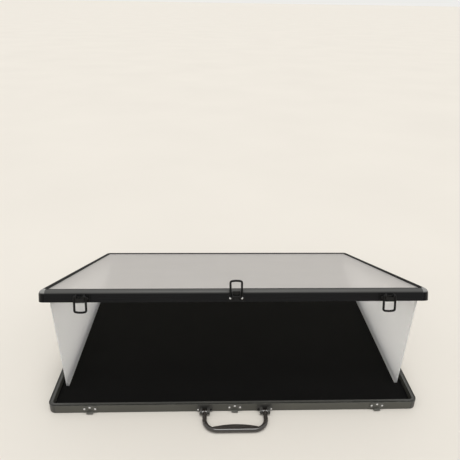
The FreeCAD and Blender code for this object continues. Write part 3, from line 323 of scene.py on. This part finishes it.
TRAY_RAIL = dict(
    # Painted shade: the tray rail's top colour is darker than its face
    tilt=0, up=TRAY_UP, colour=(0.077, 0.077, 0.066), rounding_highlight=None, top_shade=(0.052, 0.052, 0.047),
    worn=(0.22, 0.22, 0.20), roughness=0.42, gloss=0.5,
)
LID_RAIL = dict(
    # Painted highlight: the lid rail's rounding colour
    tilt=LID_ANGLE, up=LID_UP, colour=(0.005, 0.005, 0.0056), rounding_highlight=(0.082, 0.082, 0.080),
    # Painted shade: the lid rail's flat top colour is darker
    top_shade=(0.004, 0.004, 0.004), worn=(0.12, 0.12, 0.12), roughness=0.30, gloss=0.20,
)
finishes = {
    "tray_rail_x": anodised("tray_rail_x", "x", **TRAY_RAIL),
    "tray_rail_y": anodised("tray_rail_y", "y", **TRAY_RAIL),
    "lid_rail_x": anodised("lid_rail_x", "x", **LID_RAIL),
    "lid_rail_y": anodised("lid_rail_y", "y", **LID_RAIL),
    "tray_corner": moulded(
        "tray_corner", colour=(0.055, 0.055, 0.050), roughness=0.42, grain_scale=2400, grain_height=0.03 * MM,
    ),
    "lid_corner": moulded(
        "lid_corner", colour=(0.004, 0.004, 0.0045), roughness=0.22, grain_scale=2400,
        # Painted highlight: the lid corner's top colour
        grain_height=0.003 * MM, gloss=0.15, lid_top_highlight=(0.27, 0.27, 0.265),
    ),
    "handle": moulded(
        "handle", colour=(0.019, 0.0145, 0.0120), roughness=0.12, grain_scale=1500,
        grain_height=0.004 * MM, gloss=1.0,
    ),
    "edge_strip": moulded(
        "edge_strip", colour=(0.32, 0.32, 0.31), roughness=0.5, grain_scale=2000, grain_height=0.02 * MM,
    ),
    "keeper": painted_steel("keeper", (0.085, 0.085, 0.075), rubbed=(0.25, 0.25, 0.25), roughness=0.42),
    "bracket": painted_steel("bracket", (0.040, 0.039, 0.036), rubbed=(0.12, 0.12, 0.12), roughness=0.45),
    "black_steel": painted_steel(
        "black_steel", (0.004, 0.004, 0.004), rubbed=(0.03, 0.03, 0.03), roughness=0.45, gloss=0.25,
    ),
    "wire": painted_steel(
        "wire", (0.003, 0.003, 0.003), rubbed=(0.010, 0.010, 0.010), roughness=0.50, gloss=0.2,
    ),
    "bright_steel": bright_steel("bright_steel"),
    "lid_sheet": hazy_acrylic("lid_sheet", (0.625, 0.602, 0.588), roughness=0.32, IOR=1.49, Alpha=0.58),
    "side_panel": hazy_acrylic(
        "side_panel", (0.965, 0.972, 0.98), roughness=0.5, IOR=1.15, Transmission_Weight=0.42,
        Subsurface_Weight=1.0, Subsurface_Radius=(1, 1, 1), Subsurface_Scale=200 * MM,
    ),
    "panel_bevel": hazy_acrylic("panel_bevel", (0.86, 0.86, 0.85), roughness=0.4, IOR=1.49),
    "lining": lining_cloth("lining"),
    "board": hardboard("board"),
    "gasket": rubber("gasket"),
}

RAIL_RUN = {"front": "x", "rear": "x", "left": "y", "right": "y"}
slots = {part["node"]: part["material_slot"] for part in frame["record"]["subparts"]}


def finish_of(node):
    """The finish that suits a node: its slot's own, or the slot's version for that rail or corner."""
    slot = slots[node]
    if slot in ("tray_rail", "lid_rail"):
        return finishes[f"{slot}_{RAIL_RUN[node.split('_')[1]]}"]
    if node.startswith("handle_bracket"):
        return finishes["bracket"]
    if slot == "corner":
        return finishes["tray_corner" if node.startswith("base") else "lid_corner"]
    return finishes[slot]


for node, piece in nodes.items():
    piece.data.materials.clear()
    piece.data.materials.append(finish_of(node))


# Padded lining of the tray
LINING_STEP = 10 * MM
LINING_CORNER = 5.8 * MM
INNER_CORNER = 0.5 * MM
FIELD_START = 12 * MM
FIELD_MARGIN = 2 * MM
LINING_CROWN = 3.75 * MM
RIPPLE_HEIGHT = 0.18 * MM
RIPPLE_FADE = 30 * MM
ARC_STEPS = 6

# Rolled edge: inset from the lining's side and height over the board, in millimetres
EDGE_PROFILE = (
    (1.0, 0.05), (0.25, 0.5), (0.0, 1.3), (0.15, 2.1), (0.7, 2.8), (1.7, 3.25), (3.2, 3.5), (6.0, 3.65),
)

# Ripples along x and y in radians per metre, and how each bends: amount, radians per metre, phase
RIPPLE_X, RIPPLE_Y = 19, 23
BEND_X, BEND_Y = (3, 11, 0), (2, 13, 1)

# Each corner's signs and the way on to the next one, anticlockwise
CORNERS = (((1, 1), (-1, 0)), ((-1, 1), (0, -1)), ((-1, -1), (1, 0)), ((1, -1), (0, 1)))


def rounded_ring(half_x, half_y, radius, side_steps):
    """Points round a rectangle with round corners, the same number for every size."""
    points = []
    for turn, ((sign_x, sign_y), way) in enumerate(CORNERS):
        centre = Vector((sign_x * (half_x - radius), sign_y * (half_y - radius)))
        for step in range(ARC_STEPS + 1):
            angle = math.pi / 2 * (turn + step / ARC_STEPS)
            points.append(centre + radius * Vector((math.cos(angle), math.sin(angle))))
        run = 2 * ((half_x, half_y)[turn % 2] - radius)
        steps = side_steps[turn % 2]
        last = points[-1]
        points += [last + Vector(way) * (run * step / steps) for step in range(1, steps)]
    return points


def field_height(x, y, inset):
    """Height of the lining's field over the board, with a faint hand-laid ripple that fades at the edge."""
    def bend(amount, rate, phase, place):
        return amount * math.sin(rate * place + phase)

    wave = math.sin(RIPPLE_X * x + bend(*BEND_X, y)) + math.sin(RIPPLE_Y * y + bend(*BEND_Y, x))
    fade = min(1, inset / RIPPLE_FADE)
    return LINING_CROWN + RIPPLE_HEIGHT * fade * wave / 2


def make_lining():
    """Closed pad with a rolled edge, set on the board in place of the plain solid."""
    low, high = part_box("tray_lining")
    half_x, half_y = high.x, high.y
    side_steps = (round(2 * half_x / LINING_STEP), round(2 * half_y / LINING_STEP))
    insets = [(inset * MM, height * MM) for inset, height in EDGE_PROFILE]
    inset = FIELD_START
    while inset < half_y - FIELD_MARGIN:
        insets.append((inset, None))
        inset += LINING_STEP
    shape = bmesh.new()
    rings = []
    for inset, height in insets:
        radius = max(LINING_CORNER - inset, INNER_CORNER)
        ring = []
        for point in rounded_ring(half_x - inset, half_y - inset, radius, side_steps):
            rise = field_height(point.x, point.y, inset) if height is None else height
            ring.append(shape.verts.new((point.x, point.y, low.z + rise)))
        rings.append(ring)
    for outer, inner in zip(rings, rings[1:]):
        for index in range(len(outer)):
            after = (index + 1) % len(outer)
            shape.faces.new((outer[index], outer[after], inner[after], inner[index]))
    shape.faces.new(list(reversed(rings[0])))
    shape.faces.new(rings[-1])
    bmesh.ops.recalc_face_normals(shape, faces=shape.faces)
    for face in shape.faces:
        face.smooth = True
    pad = add_object("lining_pad", shape, finishes["lining"])
    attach(pad, "base")
    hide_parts("tray_lining")


# Ground lower edge of the side panels
BEVEL_RISE = 3.6 * MM
BEVEL_REACH = 1.2 * MM
BEVEL_LIFT = 0.1 * MM


def make_panel_bevel(name, inward):
    """Pale ground bevel along the foot of a side panel, on its inner face."""
    panel = nodes[f"side_panel_{name}"]
    points = [panel.matrix_world @ vertex.co for vertex in panel.data.vertices]
    face_x = inward * max(inward * point.x for point in points)
    foot_z = min(point.z for point in points)
    foot_ys = [point.y for point in points if point.z < foot_z + BEVEL_LIFT]
    profile = ((0, BEVEL_LIFT), (inward * BEVEL_REACH, BEVEL_LIFT), (0, BEVEL_LIFT + BEVEL_RISE))
    shape = bmesh.new()
    ends = [
        [shape.verts.new((face_x + across, y, foot_z + rise)) for across, rise in profile]
        for y in (min(foot_ys), max(foot_ys))
    ]
    for first, second in ((0, 1), (1, 2), (2, 0)):
        shape.faces.new((ends[0][first], ends[0][second], ends[1][second], ends[1][first]))
    for end in ends:
        shape.faces.new(end)
    bmesh.ops.recalc_face_normals(shape, faces=shape.faces)
    bevel = add_object(f"panel_{name}_bevel", shape, finishes["panel_bevel"])
    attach(bevel, f"panel_{name}")


# Camera at the photograph's place
CAMERA_PLACE = Vector((-42.83, -1028.72, 770.64)) * MM
CAMERA_YAW = math.radians(2.121)
CAMERA_PITCH = math.radians(25.832)
CAMERA_ROLL = math.radians(0.939)
FOCAL_PIXELS = 477.52
PHOTO_PIXELS = 460
SENSOR = 36.0
CLIP_END = 100


def add_camera():
    forward = Vector((
        math.sin(CAMERA_YAW) * math.cos(CAMERA_PITCH),
        math.cos(CAMERA_YAW) * math.cos(CAMERA_PITCH),
        -math.sin(CAMERA_PITCH),
    ))
    level = Vector((math.cos(CAMERA_YAW), -math.sin(CAMERA_YAW), 0))
    upward = level.cross(forward)
    right = level * math.cos(CAMERA_ROLL) + upward * math.sin(CAMERA_ROLL)
    up = upward * math.cos(CAMERA_ROLL) - level * math.sin(CAMERA_ROLL)
    data = bpy.data.cameras.new("camera")
    data.sensor_fit = "HORIZONTAL"
    data.sensor_width = SENSOR
    data.lens = FOCAL_PIXELS / PHOTO_PIXELS * SENSOR
    data.clip_end = CLIP_END
    camera = bpy.data.objects.new("camera", data)
    bpy.context.scene.collection.objects.link(camera)
    turn = Matrix((right, up, -forward)).transposed().to_4x4()
    camera.matrix_world = Matrix.Translation(CAMERA_PLACE) @ turn
    bpy.context.scene.camera = camera


# Floor and light
FLOOR_COLOUR = (0.775, 0.740, 0.685)
FLOOR_HALF = 200.0
FLOOR_DROP = 0.2 * MM
KEY_DIRECTION = (0.05, -0.08, 1.0)
SKY_DIRECTION = (0.0, 0.8, 0.6)
SKY_COLOUR = (1.0, 0.99, 0.965, 1)
SKY_RANGE = (-0.7, 0.0)
SKY_STRENGTH = (0.55, 0.86)
SUN_STRENGTH = 0.97
SUN_ANGLE = math.radians(28)


def add_floor():
    finish = Finish("floor", Roughness=0.9, Specular_IOR_Level=0.1)
    finish.colour(finish.varied(finish.noise(scale=1.6, detail=3), FLOOR_COLOUR, low=0.97, high=1))
    shape = bmesh.new()
    bmesh.ops.create_grid(shape, x_segments=1, y_segments=1, size=FLOOR_HALF)
    floor = add_object("floor", shape, finish.material)
    floor.location.z = -FLOOR_DROP


def add_sky():
    """Even dome, a little dimmer low down in front of the case."""
    world = bpy.data.worlds.new("studio")
    bpy.context.scene.world = world
    world.use_nodes = True
    tree = world.node_tree
    way = tree.nodes.new("ShaderNodeTexCoord")
    toward = tree.nodes.new("ShaderNodeVectorMath")
    toward.operation = "DOT_PRODUCT"
    toward.inputs[1].default_value = SKY_DIRECTION
    level = tree.nodes.new("ShaderNodeMapRange")
    level.inputs["From Min"].default_value, level.inputs["From Max"].default_value = SKY_RANGE
    level.inputs["To Min"].default_value, level.inputs["To Max"].default_value = SKY_STRENGTH
    sky = tree.nodes["Background"]
    sky.inputs["Color"].default_value = SKY_COLOUR
    tree.links.new(way.outputs["Generated"], toward.inputs[0])
    tree.links.new(toward.outputs["Value"], level.inputs["Value"])
    tree.links.new(level.outputs["Result"], sky.inputs["Strength"])


def add_lamp():
    """Broad soft light from above and slightly in front."""
    lamp = bpy.data.lights.new("overhead", "SUN")
    lamp.energy = SUN_STRENGTH
    lamp.angle = SUN_ANGLE
    lamp.color = SKY_COLOUR[:3]
    overhead = bpy.data.objects.new("overhead", lamp)
    bpy.context.scene.collection.objects.link(overhead)
    overhead.rotation_euler = Vector(KEY_DIRECTION).to_track_quat("Z", "Y").to_euler()


make_lining()
make_panel_bevel("left", 1)
make_panel_bevel("right", -1)
add_camera()
add_floor()
add_sky()
add_lamp()
bpy.context.scene.view_settings.view_transform = "Standard"
